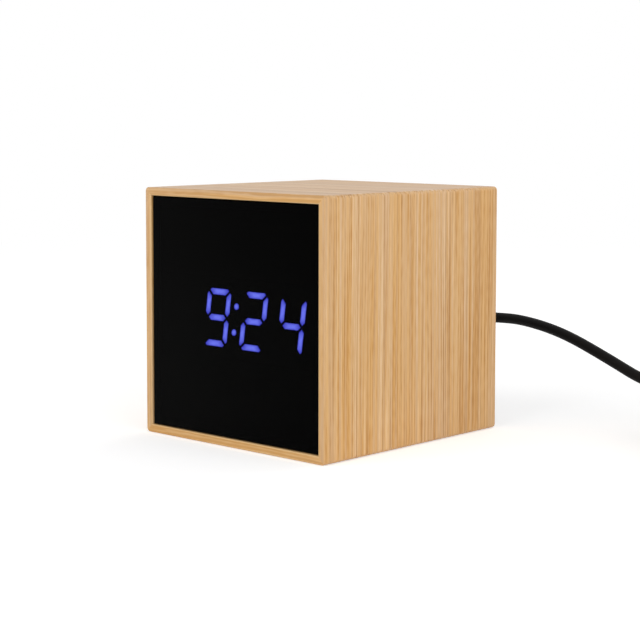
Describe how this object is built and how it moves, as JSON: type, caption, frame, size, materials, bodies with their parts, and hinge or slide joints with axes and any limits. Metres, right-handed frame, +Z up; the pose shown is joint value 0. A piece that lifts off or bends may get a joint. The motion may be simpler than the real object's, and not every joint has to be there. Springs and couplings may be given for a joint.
{
  "type": "led cube alarm clock",
  "caption": "Cube-shaped bamboo clock with glowing digits behind a dark front, a rear cover with push buttons, a round battery door and a thin coiled power cord.",
  "frame": {"origin": "middle of the case's base, where it stands", "axes": "+Z up; the display faces -Y and the cord leaves at the back, +Y; +X is to the right as the display is read"},
  "size_m": [0.1698, 0.0996, 0.0605],
  "materials": {
    "bamboo": "light varnish, satin",
    "tinted_panel": "polished, dark tint",
    "adhesive_tape": "matt",
    "black_plastic": "fine texture",
    "display_face": "matt printed face",
    "lit_resin": "glowing",
    "unlit_resin": "smoked",
    "circuit_board": "solder mask",
    "chip_resin": "moulded",
    "tinned_metal": "tinned",
    "gold_contact": "plated",
    "can_metal": "satin",
    "white_plastic": "smooth",
    "wire_sleeve": "smooth",
    "button_plastic": "satin",
    "zinc_steel": "zinc plated",
    "cell_steel": "satin",
    "cord_sleeve": "smooth satin",
    "plug_plastic": "moulded",
    "plug_metal": "nickel plated",
    "strap_fabric": "woven strap"
  },
  "bodies": {
    "clock": {"case_top": "bamboo", "case_bottom": "bamboo", "case_right": "bamboo", "case_left": "bamboo", "front_lens": "tinted_panel", "lens_tape": "adhesive_tape", "inner_frame": "black_plastic", "display_housing": "display_face", "lit_segments": "lit_resin", "dark_segments": "unlit_resin", "colon_dots": "lit_resin", "display_pins": "tinned_metal", "display_board": "circuit_board", "display_board_screws": "zinc_steel", "controller_chip": "chip_resin", "controller_leads": "tinned_metal", "crystal": "can_metal", "capacitor": "button_plastic", "chip_resistors": "chip_resin", "display_header": "white_plastic", "rear_header": "white_plastic", "harness_wires": "wire_sleeve", "rear_cover": "black_plastic", "cover_screws": "zinc_steel", "rear_board": "circuit_board", "rear_board_screws": "zinc_steel", "switch_bodies": "chip_resin", "switch_plates": "tinned_metal", "power_socket": "chip_resin", "socket_pin": "gold_contact", "socket_lugs": "tinned_metal", "buzzer": "chip_resin", "microphone": "can_metal", "coin_holder": "chip_resin", "coin_cell": "cell_steel", "coin_contact": "tinned_metal", "coin_clip": "tinned_metal", "power_plug": "plug_plastic", "plug_barrel": "plug_metal", "plug_relief": "plug_plastic", "cord_lead": "cord_sleeve", "cord_coil": "cord_sleeve", "cord_tail": "cord_sleeve", "coil_tie": "strap_fabric", "usb_relief": "plug_plastic", "usb_body": "plug_plastic", "usb_shell": "plug_metal", "usb_tongue": "white_plastic", "usb_contacts": "gold_contact"},
    "set_button": {"set_button": "button_plastic", "set_plunger": "chip_resin"},
    "down_button": {"down_button": "button_plastic", "down_plunger": "chip_resin"},
    "up_button": {"up_button": "button_plastic", "up_plunger": "chip_resin"},
    "battery_door": {"battery_door": "black_plastic"}
  },
  "joints": [
    {"name": "set_button_press", "type": "slide", "parent": "clock", "child": "set_button", "axis": [0, -1, 0], "range_m": [0, 0.0005], "stiffness_N_per_m": 300},
    {"name": "down_button_press", "type": "slide", "parent": "clock", "child": "down_button", "axis": [0, -1, 0], "range_m": [0, 0.0005], "stiffness_N_per_m": 300},
    {"name": "up_button_press", "type": "slide", "parent": "clock", "child": "up_button", "axis": [0, -1, 0], "range_m": [0, 0.0005], "stiffness_N_per_m": 300},
    {"name": "battery_door_turn", "type": "hinge", "parent": "clock", "child": "battery_door", "pos_m": [0.0132, 0.028, 0.0193], "axis": [0, 1, 0], "range_deg": [0, 60]}
  ]
}
